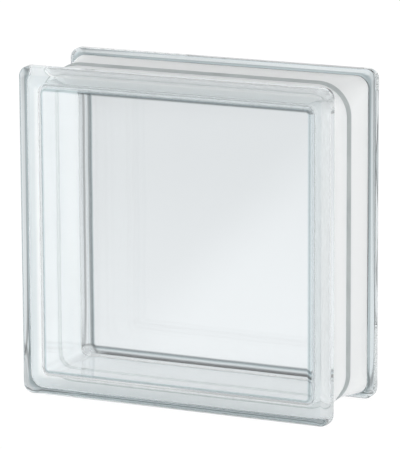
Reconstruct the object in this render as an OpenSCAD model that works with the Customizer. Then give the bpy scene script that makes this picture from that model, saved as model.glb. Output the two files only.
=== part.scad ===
// Hollow pressed-glass block, standing on one edge.
// Two pressed half shells, fused along a seam at mid depth, are one piece of glass round a sealed cavity.
// X is the width, Y the depth with the front face towards -Y, Z is up; the origin is under the middle.

/* [Block] */
// Overall width
block_w = 197; // [140:1:300]
// Overall height
block_h = 197; // [140:1:300]
// Overall depth, from face to face
block_d = 79; // [60:1:100]

/* [Face rims] */
// Width of the edge that each rim turns to the joint
rim_t = 10; // [8:0.5:14]
// Corner radius of the rims, seen from the front
rim_corner_r = 6.4; // [5.4:0.2:12]
// Rounding from the face to the rim's edge
rim_face_r = 4.5; // [1:0.25:5]
// Rounding from the rim's edge to the channel
rim_back_r = 2; // [0.5:0.25:2.5]

/* [Mortar channel] */
// Depth of the channel beside the rims
channel_rim_depth = 3.6; // [3:0.1:6]
// Depth of the channel beside the seam
channel_seam_depth = 4.2; // [3:0.1:7]
// Corner radius of the channel floor beside the rims
channel_corner_r = 13; // [8:0.5:24]
// Fillet from the channel floor up to the rims
channel_fillet_r = 1.4; // [0.5:0.1:2.5]

/* [Fused seam] */
// Width of the bead along the seam
seam_w = 5; // [3.5:0.25:8]
// Height of the bead over the channel floor
seam_h = 1.5; // [0.4:0.1:1.7]

/* [Cavity] */
// Thickness of the two panes
pane_t = 7.3; // [5:0.1:10]
// Thickness of the side walls beside the panes
wall_pane_t = 7; // [5:0.1:10]
// Thickness of the side walls at the seam
wall_seam_t = 5; // [4:0.1:8]
// Corner radius of the cavity beside the panes
cavity_corner_r = 5.5; // [5:0.5:14]
// Fillet from the panes to the side walls
cavity_fillet_r = 4.4; // [2:0.2:4.8]

/* [Hidden] */
$fn = 96;
half_d = block_d / 2;

// Channel: the floor leans in from the rims to the seam, and the walls run on into the rims
channel_run = half_d - rim_t;
channel_lean = channel_seam_depth - channel_rim_depth;
channel_slant = norm([channel_run, channel_lean]);
wall_bury = rim_t / 2;
// The fillet leaves a tenth of the step flat under the rim's own rounding
fillet_r = min(channel_fillet_r, 0.9 * (channel_rim_depth - rim_back_r));
fillet_x = channel_corner_r - channel_lean * fillet_r / channel_run + fillet_r * channel_slant / channel_run;
fillet_y = channel_run - fillet_r;
fillet_foot = [fillet_x - fillet_r * channel_run / channel_slant, fillet_y + fillet_r * channel_lean / channel_slant];

// Seam: the bead is a segment of a circle over the channel floor
seam_floor = channel_corner_r - channel_lean;
seam_r = (pow(seam_w / 2, 2) + pow(seam_h, 2)) / (2 * seam_h);

// Cavity: it is widest at the seam, so that each half shell leaves its plunger
cavity_run = half_d - pane_t;
cavity_inset = channel_rim_depth + wall_pane_t;
cavity_draft = cavity_inset - channel_seam_depth - wall_seam_t;
cavity_slant = norm([cavity_run, cavity_draft]);
round_x = cavity_corner_r + (cavity_draft - cavity_slant) * cavity_fillet_r / cavity_run;
round_y = cavity_run - cavity_fillet_r;
round_foot = [round_x, round_y] + cavity_fillet_r / cavity_slant * [cavity_run, cavity_draft];

// Carries a section round a rounded rectangle that is set in from the outline of the block.
// In the section x runs outwards from the corner centres and y is the depth, from low to high at x = 0.
module carried_round(inset, corner_r, low, high) {
    run_x = block_w / 2 - inset - corner_r;
    run_y = block_h / 2 - inset - corner_r;
    translate([-run_x, -run_y, low])
        cube([2 * run_x, 2 * run_y, high - low]);
    for (turn = [0, 180])
        rotate(turn) {
            translate([run_x, run_y, 0])
                rotate([90, 0, 0])
                    linear_extrude(2 * run_y)
                        children();
            translate([-run_x, run_y, 0])
                rotate([90, 0, 90])
                    linear_extrude(2 * run_x)
                        children();
            translate([run_x, run_y, 0])
                rotate_extrude(angle = 90)
                    children();
            translate([-run_x, run_y, 0])
                rotate(90)
                    rotate_extrude(angle = 90)
                        children();
        }
}

// Quarter of a disc, for the rounded corners of a section
module quarter_disc(r) {
    intersection() {
        circle(r);
        square(r);
    }
}

// Section of a rim, from the channel at y = 0 to the face
module rim_section() {
    polygon([
        [0, 0],
        [rim_corner_r - rim_back_r, 0],
        [rim_corner_r, rim_back_r],
        [rim_corner_r, rim_t - rim_face_r],
        [rim_corner_r - rim_face_r, rim_t],
        [0, rim_t]
    ]);
    translate([rim_corner_r - rim_back_r, rim_back_r])
        mirror([0, 1])
            quarter_disc(rim_back_r);
    translate([rim_corner_r - rim_face_r, rim_t - rim_face_r])
        quarter_disc(rim_face_r);
}

// Section of half of the side wall, from the seam at y = 0 into the rim, as if it had no cavity
module wall_section() {
    difference() {
        polygon([
            [0, 0],
            [seam_floor, 0],
            fillet_foot,
            [fillet_x, fillet_y],
            [fillet_x, channel_run + wall_bury],
            [0, channel_run + wall_bury]
        ]);
        translate([fillet_x, fillet_y])
            circle(fillet_r);
    }
}

// Section of the bead that the fused seam leaves in the channel
module seam_section() {
    intersection() {
        translate([seam_floor + seam_h - seam_r, 0])
            circle(seam_r);
        translate([seam_floor - seam_h, -seam_w / 2])
            square([2 * seam_h, seam_w]);
    }
}

// Section of half of the cavity, from the seam at y = 0 to the pane
module cavity_section() {
    polygon([
        [0, 0],
        [cavity_corner_r + cavity_draft, 0],
        round_foot,
        [round_x, cavity_run],
        [0, cavity_run]
    ]);
    intersection() {
        translate([round_x, round_y])
            circle(cavity_fillet_r);
        polygon([[round_x, round_y], round_foot, [cavity_corner_r, cavity_run], [round_x, cavity_run]]);
    }
}

// Both halves of a section that is the same on either side of the seam
module both_halves() {
    children();
    mirror([0, 1])
        children();
}

// The whole block: rims, side walls and seam, less the sealed cavity
module glass_block() {
    color("lightcyan")
        translate([0, 0, block_h / 2])
            rotate([90, 0, 0])
                difference() {
                    union() {
                        for (face = [0, 1])
                            mirror([0, 0, face])
                                translate([0, 0, channel_run])
                                    carried_round(0, rim_corner_r, 0, rim_t)
                                        rim_section();
                        carried_round(channel_rim_depth, channel_corner_r,
                            -channel_run - wall_bury, channel_run + wall_bury) {
                            both_halves()
                                wall_section();
                            seam_section();
                        }
                    }
                    carried_round(cavity_inset, cavity_corner_r, -cavity_run, cavity_run)
                        both_halves()
                            cavity_section();
                }
}

glass_block();
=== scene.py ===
import bpy
import numpy as np
from mathutils import Matrix, Vector


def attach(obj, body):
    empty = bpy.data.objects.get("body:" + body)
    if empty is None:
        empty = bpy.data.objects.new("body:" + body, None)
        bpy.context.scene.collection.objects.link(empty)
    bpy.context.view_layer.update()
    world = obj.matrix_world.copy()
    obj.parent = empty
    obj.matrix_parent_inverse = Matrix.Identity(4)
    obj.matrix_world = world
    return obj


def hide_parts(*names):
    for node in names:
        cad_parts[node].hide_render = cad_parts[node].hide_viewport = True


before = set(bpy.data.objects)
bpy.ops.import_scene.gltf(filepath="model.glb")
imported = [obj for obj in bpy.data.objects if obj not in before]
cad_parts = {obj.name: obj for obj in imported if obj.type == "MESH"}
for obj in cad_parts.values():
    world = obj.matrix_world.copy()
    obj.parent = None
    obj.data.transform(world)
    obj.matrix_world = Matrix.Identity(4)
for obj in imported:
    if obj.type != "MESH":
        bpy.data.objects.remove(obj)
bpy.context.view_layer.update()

# The block: one hollow piece of clear glass, pressed as two open half shells whose edges are
# fused while hot. Each face is a flat pane that ends in a rounded rim, and a channel for mortar
# runs round the four sides between the rims, with the fused seam in it as a bead.
block_w, block_h, block_d = 0.197, 0.197, 0.079
rim_t, rim_corner_r, rim_face_r, rim_back_r = 0.010, 0.0064, 0.0045, 0.002
channel_rim_depth, channel_seam_depth = 0.0036, 0.0042
channel_rim_corner_r, channel_seam_corner_r, channel_fillet_r = 0.0075, 0.0185, 0.0014
seam_w, seam_h = 0.005, 0.0015
pane_t, wall_pane_t, wall_seam_t = 0.0073, 0.007, 0.005
cavity_corner_r, cavity_fillet_r = 0.0055, 0.0044

# The mesh has these rows in an arc and in the bead, and points in a corner. A pane has rows at these
# insets, closes on a small square in its middle, and has a row this close to its edge.
arc_rows, bead_rows, corner_points = 33, 17, 25
pane_rows, middle_r, middle_side, edge_gap = [0.06, 0.03], 0.003, 0.0001, 0.0003

# Glass looks deeper in colour where it is thick. Each of these is the depth of its colour in one part
# of the profile, from 0 in the pane to 1. The step's is partly painted shade, and the hollow's at the
# foot of the step and the fillet's line in the cavity are painted shade: dark lines painted into the
# glass where refraction draws them.
border_tint, border_w, border_fade = 0.24, 0.0105, 0.002
face_edge_tint, edge_tint, back_edge_tint = 0.095, 0.125, 0.2
step_tint_and_shade, hollow_painted_shade, channel_tint = 0.5, 0.85, 0.5
fillet_painted_shade, fillet_shade_at, fillet_shade_w = 0.85, 0.0012, 0.0008
bare, coated, on_seam = 0, 1, 2


def carried_round(inset, corner_r, depth):
    """Rounded rectangles in planes across the depth, one for each entry of the three arrays.

    A quarter circle of radius corner_r turns about each of four centres, which lie inset plus
    corner_r inside the outline of the block, and points spaced along straight sides join them.
    Returns an array of shape (rings, points, 3).
    """
    turn = np.linspace(0, np.pi / 2, corner_points) + np.arange(4)[:, None] * np.pi / 2
    side_x = np.array([1, -1, -1, 1])[:, None]
    side_z = np.array([1, 1, -1, -1])[:, None]
    inset, corner_r = inset[:, None, None], corner_r[:, None, None]
    arc_x = side_x * (block_w / 2 - inset - corner_r) + corner_r * np.cos(turn)
    arc_z = side_z * (block_h / 2 - inset - corner_r) + corner_r * np.sin(turn) + block_h / 2
    along = np.array([0.005, 0.02, 0.1, 0.3, 0.5, 0.7, 0.9, 0.98, 0.995])
    rows = []
    for arc in (arc_x, arc_z):
        start, end = arc[:, :, -1:], np.roll(arc, -1, axis=1)[:, :, :1]
        rows.append(np.concatenate([arc, start + (end - start) * along], axis=2))
    x, z = (row.reshape(len(inset), -1) for row in rows)
    y = np.broadcast_to(depth[:, None], x.shape)
    return np.stack([x, y, z], axis=2)


def capped_tube(rings, start=0, inwards=False):
    """Vertices and faces of a closed tube: quads between neighbouring rings, and a fan of
    triangles from a middle point over the first and the last ring. The vertices count from
    start, and a tube that faces inwards has the order of each face turned round."""
    count, points = rings.shape[:2]
    middle = rings[[0, -1]].mean(axis=1)
    vertices = np.concatenate([rings.reshape(-1, 3), middle])
    here = np.arange(points)
    there = np.roll(here, -1)
    row = (np.arange(count - 1) * points)[:, None]
    quads = np.stack([row + here, row + points + here, row + points + there, row + there], axis=2)
    first, last = count * points, count * points + 1
    end = (count - 1) * points
    fans = np.concatenate([np.stack([here, there, np.full(points, first)], axis=1),
                           np.stack([end + there, end + here, np.full(points, last)], axis=1)])
    order = -1 if inwards else 1
    quads, fans = start + quads.reshape(-1, 4)[:, ::order], start + fans[:, ::order]
    return vertices, quads.tolist() + fans.tolist()


def between(start, end, shares):
    """Rows of a profile on the straight line from one row to another, at these shares of it."""
    return start + (np.asarray(end) - start) * np.asarray(shares)[:, None]


def mirrored(half):
    """A profile from the front pane to the seam, carried on to the back pane by its mirror image."""
    back = half[::-1] * [1, 1, -1]
    return np.concatenate([half, back[1:]])


def glass_outside():
    """Profile of the outside as (inset, corner radius, depth), from the front pane to the back pane.

    It runs over the pane, a quarter circle to the rim's edge, the edge, a quarter circle to the
    step, a hollow quarter circle to the channel floor, the floor, whose corners open out towards
    the seam, and a circle segment for the bead. Rows close to each edge keep flat parts flat.
    Also returns the finish of each strip between rows, and the depth of the glass's colour in each
    row, painted shade in the hollow and partly in the step.
    """
    half_d, run = block_d / 2, block_d / 2 - rim_t
    quarter = np.linspace(0, np.pi / 2, arc_rows)
    pane_inset = np.array([block_w / 2 - middle_r - middle_side, *pane_rows, border_w + border_fade,
                           border_w, rim_face_r + edge_gap])
    pane = np.stack([pane_inset, np.full(len(pane_inset), middle_r),
                     np.full(len(pane_inset), -half_d)], axis=1)
    set_in = rim_face_r * (1 - np.sin(quarter))
    face_edge = np.stack([set_in, rim_corner_r - set_in,
                          -half_d + rim_face_r * (1 - np.cos(quarter))], axis=1)
    set_in = rim_back_r * (1 - np.cos(quarter))
    back_edge = np.stack([set_in, rim_corner_r - set_in,
                          -run - rim_back_r * (1 - np.sin(quarter))], axis=1)
    rise = channel_fillet_r * (1 - np.sin(quarter))
    hollow = np.stack([channel_rim_depth - rise, channel_rim_corner_r + rise,
                       -run + channel_fillet_r * (1 - np.cos(quarter))], axis=1)
    seam_r = (seam_w ** 2 / 4 + seam_h ** 2) / (2 * seam_h)
    spread = np.linspace(np.arcsin(seam_w / 2 / seam_r), 0, bead_rows)
    rise = seam_r * np.cos(spread) - seam_r + seam_h
    bead = np.stack([channel_seam_depth - rise, channel_seam_corner_r + rise,
                     -seam_r * np.sin(spread)], axis=1)
    edge = between(face_edge[-1], back_edge[0], [0.1, 0.5, 0.9])
    step = between(back_edge[-1], hollow[0], [0.5])
    floor = between(hollow[-1], bead[0], [0.02, 0.25, 0.5, 0.75, 0.98])
    half = [pane, face_edge, edge, back_edge, step, hollow, floor, bead]
    lengths = [len(part) for part in half]
    finish = np.repeat([bare, bare, bare, bare, bare, bare, coated, on_seam], lengths)[1:]
    finish[-len(bead)] = coated
    # The hollow's value is painted shade and the step's partly so; the rest are the glass's own deeper
    # colour.
    darkening = np.repeat([0, face_edge_tint, edge_tint, back_edge_tint, step_tint_and_shade, hollow_painted_shade,
                      channel_tint, channel_tint], lengths)
    darkening[len(pane) - 2:len(pane)] = border_tint
    return (mirrored(np.concatenate(half)), np.concatenate([finish, finish[::-1]]),
            np.concatenate([darkening, darkening[-2::-1]]))


def glass_cavity():
    """Profile of the cavity as (inset, corner radius, depth): the inner face of a pane, a fillet and
    a wall that leans out to the seam, with rows close to each edge. Also returns a painted shade in
    each row, a dark line along the fillet: a bell curve of the distance along the profile from its
    start."""
    run = block_d / 2 - pane_t
    wall = channel_rim_depth + wall_pane_t
    draft = wall - channel_seam_depth - wall_seam_t
    slant = np.hypot(run, draft)
    centre_out = cavity_corner_r + (draft - slant) * cavity_fillet_r / run
    swing = np.linspace(np.pi / 2, np.arctan2(draft, run), arc_rows)
    out = centre_out + cavity_fillet_r * np.cos(swing)
    base = wall + cavity_corner_r
    fillet = np.stack([base - out, out,
                       -run + cavity_fillet_r * (1 - np.sin(swing))], axis=1)
    edge = base - centre_out
    pane_inset = np.array([block_w / 2 - centre_out - middle_side, *pane_rows,
                           edge + 0.002, edge + 0.001, edge + edge_gap])
    pane = np.stack([pane_inset, np.full(len(pane_inset), centre_out),
                     np.full(len(pane_inset), -run)], axis=1)
    seam = np.array([wall - draft, cavity_corner_r + draft, 0])
    half = np.concatenate([pane, fillet, between(fillet[-1], seam, [0.02, 0.5, 0.985, 1])])
    strides = np.diff(half[:, [0, 2]], axis=0, prepend=half[:1, [0, 2]])
    along = np.cumsum(np.hypot(*strides.T))
    # The line along the fillet is painted shade: dark glass colour where refraction draws a dark line.
    off_line = (along - along[len(pane)] - fillet_shade_at) / fillet_shade_w
    darkening = fillet_painted_shade * np.exp(-off_line ** 2)
    return mirrored(half), np.concatenate([darkening, darkening[-2::-1]])


outside_profile, outside_finish, outside_tint_and_shade = glass_outside()
outside_rings = carried_round(*outside_profile.T)
outside, outside_faces = capped_tube(outside_rings)
cavity_profile, cavity_painted_shade = glass_cavity()
cavity_rings = carried_round(*cavity_profile.T)
cavity, cavity_faces = capped_tube(cavity_rings, len(outside), inwards=True)
mesh = bpy.data.meshes.new("glass_block")
mesh.from_pydata(np.concatenate([outside, cavity]).tolist(), [], outside_faces + cavity_faces)
mesh.polygons.foreach_set("use_smooth", np.ones(len(mesh.polygons), bool))
points = outside_rings.shape[1]
finish = np.zeros(len(mesh.polygons), np.int32)
finish[:outside_finish.size * points] = np.repeat(outside_finish, points)
# Per point: the glass's own deeper colour, with painted shade in the hollow and along the cavity's
# fillet.
tint_and_shade = np.zeros(len(mesh.vertices), np.float32)
tint_and_shade[:outside_tint_and_shade.size * points] = np.repeat(outside_tint_and_shade, points)
tint_and_shade[len(outside):-2] = np.repeat(cavity_painted_shade, points)
mesh.attributes.new("tint_and_shade", "FLOAT", "POINT").data.foreach_set("value", tint_and_shade)
mesh.update()
block = bpy.data.objects.new("clear_glass_block", mesh)
bpy.context.scene.collection.objects.link(block)

# The ramp runs from the clear pane through the deeper colour of thick glass to a dark colour of
# painted shade.
pane_colour = (0.966, 0.986, 0.996, 1)
deep_colour, painted_shade_colour = (0.5, 0.62, 0.66, 1), (0.26, 0.31, 0.32, 1)
wave_scale, wave_strength, wave_height, glass_ior = 22, 0.5, 0.0004, 1.52
glass = bpy.data.materials.new("clear_pressed_glass")
glass.use_nodes = True
nodes, links = glass.node_tree.nodes, glass.node_tree.links
shader = nodes["Principled BSDF"]
through_glass = nodes.new("ShaderNodeAttribute")
through_glass.attribute_name = "tint_and_shade"
darkening = nodes.new("ShaderNodeValToRGB")
darkening.color_ramp.elements[0].color = pane_colour
darkening.color_ramp.elements.new(0.5).color = deep_colour
darkening.color_ramp.elements[2].color = painted_shade_colour
links.new(through_glass.outputs["Fac"], darkening.inputs["Fac"])
links.new(darkening.outputs["Color"], shader.inputs["Base Color"])
place = nodes.new("ShaderNodeTexCoord")
waves = nodes.new("ShaderNodeTexNoise")
waves.inputs["Scale"].default_value = wave_scale
waves.inputs["Detail"].default_value = 1
links.new(place.outputs["Object"], waves.inputs["Vector"])
ripple = nodes.new("ShaderNodeBump")
ripple.inputs["Strength"].default_value = wave_strength
ripple.inputs["Distance"].default_value = wave_height
links.new(waves.outputs["Fac"], ripple.inputs["Height"])
links.new(ripple.outputs["Normal"], shader.inputs["Normal"])
shader.inputs["Roughness"].default_value = 0
shader.inputs["IOR"].default_value = glass_ior
shader.inputs["Transmission Weight"].default_value = 1
mesh.materials.append(glass)

# The edge coat: a thin film of matt white, brushed along the floor of the channel so that mortar
# holds on the glass. It lies a little uneven, and lets part of the light through into the walls.
coat_thin, coat_thick = (0.9, 0.915, 0.92, 1), (0.945, 0.95, 0.95, 1)
through_thin, through_thick = (0.89, 0.915, 0.92, 1), (0.955, 0.97, 0.97, 1)
coat_sheer, coat_gloss, coat_smooth, coat_rough = 0.47, 0.3, 0.5, 0.65
brush_scale, patch_from, patch_to = (4, 60, 4), 0.3, 0.7


def fade(value, start, end, near, far):
    """A smooth step from near to far as the value goes from start to end."""
    step = nodes.new("ShaderNodeMapRange")
    step.interpolation_type = "SMOOTHSTEP"
    for socket, number in (("From Min", start), ("From Max", end), ("To Min", near), ("To Max", far)):
        step.inputs[socket].default_value = number
    links.new(value, step.inputs["Value"])
    return step.outputs["Result"]


coat = bpy.data.materials.new("white_edge_coat")
coat.use_nodes = True
nodes, links = coat.node_tree.nodes, coat.node_tree.links
shader = nodes["Principled BSDF"]
through = nodes.new("ShaderNodeBsdfTranslucent")
place = nodes.new("ShaderNodeTexCoord")
brushed = nodes.new("ShaderNodeMapping")
brushed.inputs["Scale"].default_value = brush_scale
links.new(place.outputs["Object"], brushed.inputs["Vector"])
streaks = nodes.new("ShaderNodeTexNoise")
streaks.inputs["Scale"].default_value = 1
streaks.inputs["Detail"].default_value = 1
links.new(brushed.outputs["Vector"], streaks.inputs["Vector"])
thickness = fade(streaks.outputs["Fac"], patch_from, patch_to, 0, 1)
for socket, thin, thick in ((shader.inputs["Base Color"], coat_thin, coat_thick),
                            (through.inputs["Color"], through_thin, through_thick)):
    layer = nodes.new("ShaderNodeMix")
    layer.data_type = "RGBA"
    layer.inputs["A"].default_value = thin
    layer.inputs["B"].default_value = thick
    links.new(thickness, layer.inputs["Factor"])
    links.new(layer.outputs["Result"], socket)
roughness = fade(streaks.outputs["Fac"], patch_from, patch_to, coat_smooth, coat_rough)
links.new(roughness, shader.inputs["Roughness"])
shader.inputs["Specular IOR Level"].default_value = coat_gloss
film = nodes.new("ShaderNodeMixShader")
film.inputs["Fac"].default_value = coat_sheer
links.new(shader.outputs["BSDF"], film.inputs[1])
links.new(through.outputs["BSDF"], film.inputs[2])
links.new(film.outputs["Shader"], nodes["Material Output"].inputs["Surface"])
mesh.materials.append(coat)

# The seam's coat: the same film, which runs off the rounded bead and leaves it thin and mottled. Its
# dark grey is painted shade for the shade and dark refraction of the bead, as a line round the
# channel.
seam_painted_shade_dark, seam_painted_shade_light = (0.35, 0.38, 0.385, 1), (0.45, 0.48, 0.48, 1)
seam_through = (0.78, 0.81, 0.81, 1)
seam_sheer, seam_rough, mottle_scale = 0.55, 0.7, 60
coat = bpy.data.materials.new("thin_coat_with_painted_shade")
coat.use_nodes = True
nodes, links = coat.node_tree.nodes, coat.node_tree.links
shader = nodes["Principled BSDF"]
through = nodes.new("ShaderNodeBsdfTranslucent")
through.inputs["Color"].default_value = seam_through
place = nodes.new("ShaderNodeTexCoord")
mottle = nodes.new("ShaderNodeTexNoise")
mottle.inputs["Scale"].default_value = mottle_scale
mottle.inputs["Detail"].default_value = 3
links.new(place.outputs["Object"], mottle.inputs["Vector"])
layer = nodes.new("ShaderNodeMix")
layer.data_type = "RGBA"
layer.inputs["A"].default_value = seam_painted_shade_dark
layer.inputs["B"].default_value = seam_painted_shade_light
links.new(fade(mottle.outputs["Fac"], patch_from, patch_to, 0, 1), layer.inputs["Factor"])
links.new(layer.outputs["Result"], shader.inputs["Base Color"])
roughness = fade(mottle.outputs["Fac"], patch_from, patch_to, coat_smooth, seam_rough)
links.new(roughness, shader.inputs["Roughness"])
shader.inputs["Specular IOR Level"].default_value = coat_gloss
film = nodes.new("ShaderNodeMixShader")
film.inputs["Fac"].default_value = seam_sheer
links.new(shader.outputs["BSDF"], film.inputs[1])
links.new(through.outputs["BSDF"], film.inputs[2])
links.new(film.outputs["Shader"], nodes["Material Output"].inputs["Surface"])
mesh.materials.append(coat)
mesh.polygons.foreach_set("material_index", finish)

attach(block, "root")
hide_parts("glass_block")

# The floor: a plain pale sheet that gives out most of its light itself, so the camera sees it white
# all over. Glass shows it with painted shade in pale grey: a painted shadow close round the rims, a
# dark ring round the block, a dark wedge behind it and a painted falloff far off, which draws the
# lines along the edges of the glass.
floor_half, floor_grey, floor_glow = 4, 0.85, 0.9
floor_white, floor_light = 1.05, 1.28
view_bearing, slant_bearing, front_bearing = 24.74, 12.34, 55
wedge_at, wedge_falls, wedge_rises, wedge_low = (-0.085, 0.04, 0), (24, 40), (47, 58), 0.4
contact_shadow_falls, contact_shadow_rises, contact_shadow_edge, contact_shadow_low = (0, 0.0005), (0.003, 0.011), 0.8, 0.05
ring_falls, ring_rises, ring_low, ring_out = (0.014, 0.026), (0.034, 0.05), 0.5, 1.2
lift_from, lift_to, lift_light = block_w / 2 - 0.022, block_w / 2 - 0.004, 0.7
# A shade is the two places that it runs between, and its strength at each of them.
behind_shade, far_shade = (0.08, 0.75, 0.97, 0.868), (0.8, 1.5, 1, 0.3)
left_shade, front_shade = (-0.1, -0.03, 0.92, 1.02), (0.3, 0.95, 1, 0.75)
floor_mesh = bpy.data.meshes.new("floor")
floor_mesh.from_pydata([(-floor_half, -floor_half, 0), (floor_half, -floor_half, 0),
                        (floor_half, floor_half, 0), (-floor_half, floor_half, 0)], [], [(0, 1, 2, 3)])
floor = bpy.data.objects.new("floor", floor_mesh)
bpy.context.scene.collection.objects.link(floor)
sheet = bpy.data.materials.new("pale_sheet")
sheet.use_nodes = True
nodes, links = sheet.node_tree.nodes, sheet.node_tree.links
shader = nodes["Principled BSDF"]
shader.inputs["Base Color"].default_value = (floor_grey, floor_grey, floor_grey, 1)
shader.inputs["Specular IOR Level"].default_value = 0
place = nodes.new("ShaderNodeTexCoord")


def combined(operation, first, second):
    """The product of two values, or the larger of them."""
    step = nodes.new("ShaderNodeMath")
    step.operation = operation
    links.new(first, step.inputs[0])
    links.new(second, step.inputs[1])
    return step.outputs["Value"]


def product(*values):
    """All the values multiplied together."""
    total = values[0]
    for value in values[1:]:
        total = combined("MULTIPLY", total, value)
    return total


def dip(value, falls, rises, near, low, far):
    """A value that goes from near down to low over one span and up to far over a later one."""
    return combined("MAXIMUM", fade(value, *falls, near, low), fade(value, *rises, low, far))


def vector_step(operation, vector, by=(0, 0, 0)):
    """The vector and the value that one step of arithmetic with a fixed second vector gives."""
    step = nodes.new("ShaderNodeVectorMath")
    step.operation = operation
    step.inputs[1].default_value = by
    links.new(vector, step.inputs[0])
    return step.outputs


def split(vector):
    """The X, Y and Z of a vector."""
    parts = nodes.new("ShaderNodeSeparateXYZ")
    links.new(vector, parts.inputs["Vector"])
    return parts.outputs


def along_bearing(degrees):
    """Floor coordinates turned by a bearing: X to the right of it and Y along it."""
    turned = nodes.new("ShaderNodeMapping")
    turned.inputs["Rotation"].default_value = (0, 0, np.radians(-degrees))
    links.new(place.outputs["Object"], turned.inputs["Vector"])
    return split(turned.outputs["Vector"])


def by_ray(lit, seen, white):
    """Strength of light: white for the camera, seen for what glass shows, lit for all the rest."""
    rays = nodes.new("ShaderNodeLightPath")
    result = lit
    for ray, value in (("Is Glossy Ray", seen), ("Is Camera Ray", white)):
        choice = nodes.new("ShaderNodeMix")
        choice.data_type = "FLOAT"
        links.new(rays.outputs[ray], choice.inputs["Factor"])
        for socket, part in (("A", result), ("B", value)):
            if isinstance(part, bpy.types.NodeSocket):
                links.new(part, choice.inputs[socket])
            else:
                choice.inputs[socket].default_value = part
        result = choice.outputs["Result"]
    return result


beside = vector_step("ABSOLUTE", place.outputs["Object"])["Vector"]
outside_of_block = vector_step("SUBTRACT", beside, (block_w / 2, block_d / 2, 0))["Vector"]
clear_of_block = vector_step("MAXIMUM", outside_of_block)["Vector"]
gap = vector_step("LENGTH", clear_of_block)["Value"]
# A painted shadow close round the rims, lighter towards the rounded corners.
contact_shadow = dip(gap, contact_shadow_falls, contact_shadow_rises, contact_shadow_edge, contact_shadow_low, contact_shadow_edge)
lifted = combined("MAXIMUM", contact_shadow, fade(split(beside)["X"], lift_from, lift_to, 0, lift_light))
# A painted dark ring round the block.
ring = dip(gap, ring_falls, ring_rises, 1, ring_low, ring_out)
from_corner = nodes.new("ShaderNodeMapping")
from_corner.vector_type = "TEXTURE"
from_corner.inputs["Location"].default_value = wedge_at
links.new(place.outputs["Object"], from_corner.inputs["Vector"])
bearing = nodes.new("ShaderNodeTexGradient")
bearing.gradient_type = "RADIAL"
links.new(from_corner.outputs["Vector"], bearing.inputs["Vector"])
# The gradient gains 1 in a full turn to the left, and is 0.75 straight behind the block.
falls, rises = 0.75 + np.array([wedge_falls, wedge_rises]) / 360
# A painted dark wedge behind the block.
wedge = dip(bearing.outputs["Fac"], falls, rises, 1, wedge_low, 1)
viewed, slanted = along_bearing(view_bearing), along_bearing(slant_bearing)
front_right = (np.sin(np.radians(front_bearing)), -np.cos(np.radians(front_bearing)), 0)
around = vector_step("NORMALIZE", place.outputs["Object"])["Vector"]
ahead = vector_step("DOT_PRODUCT", around, front_right)["Value"]
# What glass sees: the floor's glow with all of this painted shade and a painted falloff with distance.
seen = product(wedge, fade(viewed["Y"], *behind_shade), fade(slanted["X"], *left_shade),
               fade(viewed["Y"], *far_shade), lifted, ring, fade(ahead, *front_shade))
glow = nodes.new("ShaderNodeEmission")
links.new(by_ray(floor_light, seen, floor_white), glow.inputs["Strength"])
both = nodes.new("ShaderNodeMixShader")
both.inputs["Fac"].default_value = floor_glow
links.new(shader.outputs["BSDF"], both.inputs[1])
links.new(glow.outputs["Emission"], both.inputs[2])
links.new(both.outputs["Shader"], nodes["Material Output"].inputs["Surface"])
floor_mesh.materials.append(sheet)

# The light: a soft white room and no lamps. It lights the coats more from the left than from the
# right, and little from above. The camera sees it white. Glass shows it nearly white in front, and
# behind the block only as a bright band a little above the horizon.
side_shade, top_shade = (-0.9, 0.9, 2.52, 1.8), (0.4, 0.91, 1, 0.1)
low_shade, high_shade, back_shade = (0.1, 0.22, 0.3, 0.95), (0.35, 0.55, 1, 0.15), (0, 0.4, 1, 0)
front_left, front_left_shade, room_white = (-0.5, -0.866, 0), (0, 1.1, 1, 0.8), 1
world = bpy.data.worlds.new("soft_room")
bpy.context.scene.world = world
world.use_nodes = True
nodes, links = world.node_tree.nodes, world.node_tree.links
nodes["Background"].inputs["Color"].default_value = (1, 1, 1, 1)
direction = nodes.new("ShaderNodeTexCoord").outputs["Generated"]
room = split(direction)
lit = product(fade(room["X"], *side_shade), fade(room["Z"], *top_shade))
band = product(fade(room["Z"], *high_shade), fade(room["Z"], *low_shade))
band_or_front = combined("MAXIMUM", band, fade(room["Y"], *back_shade))
ahead = vector_step("DOT_PRODUCT", direction, front_left)["Value"]
seen = product(band_or_front, fade(ahead, *front_left_shade))
links.new(by_ray(lit, seen, room_white), nodes["Background"].inputs["Strength"])

# The camera: a long lens that looks at the block from the right of its front face and a little
# above it, as the photo does.
view_lift, view_roll = 12.66, -0.30
aim_up, aim_across, distance = 0.00463, 0.00045, 2.1517
sensor_mm, focal_px, picture_px = 36, 3671.3, 400
turn, lift, roll = np.radians([view_bearing, view_lift, view_roll])
back = np.array([np.sin(turn) * np.cos(lift), -np.cos(turn) * np.cos(lift), np.sin(lift)])
across = np.array([np.cos(turn), np.sin(turn), 0])
up = np.cross(back, across)
aim = np.array([0, 0, block_h / 2]) + aim_up * up + aim_across * across
across, up = across * np.cos(roll) + up * np.sin(roll), up * np.cos(roll) - across * np.sin(roll)
lens = bpy.data.cameras.new("camera")
lens.sensor_fit = "HORIZONTAL"
lens.sensor_width = sensor_mm
lens.lens = sensor_mm * focal_px / picture_px
lens.clip_end = 50
camera = bpy.data.objects.new("camera", lens)
facing = Matrix(np.stack([across, up, back], axis=1)).to_4x4()
camera.matrix_world = Matrix.Translation(Vector(aim + distance * back)) @ facing
bpy.context.scene.collection.objects.link(camera)
bpy.context.scene.camera = camera

# The render: plain colours, and enough bounces for light to cross the walls and rims of the block.
bpy.context.scene.view_settings.view_transform = "Standard"
bpy.context.scene.cycles.max_bounces = 32
bpy.context.scene.cycles.glossy_bounces = 20
bpy.context.scene.cycles.transmission_bounces = 32
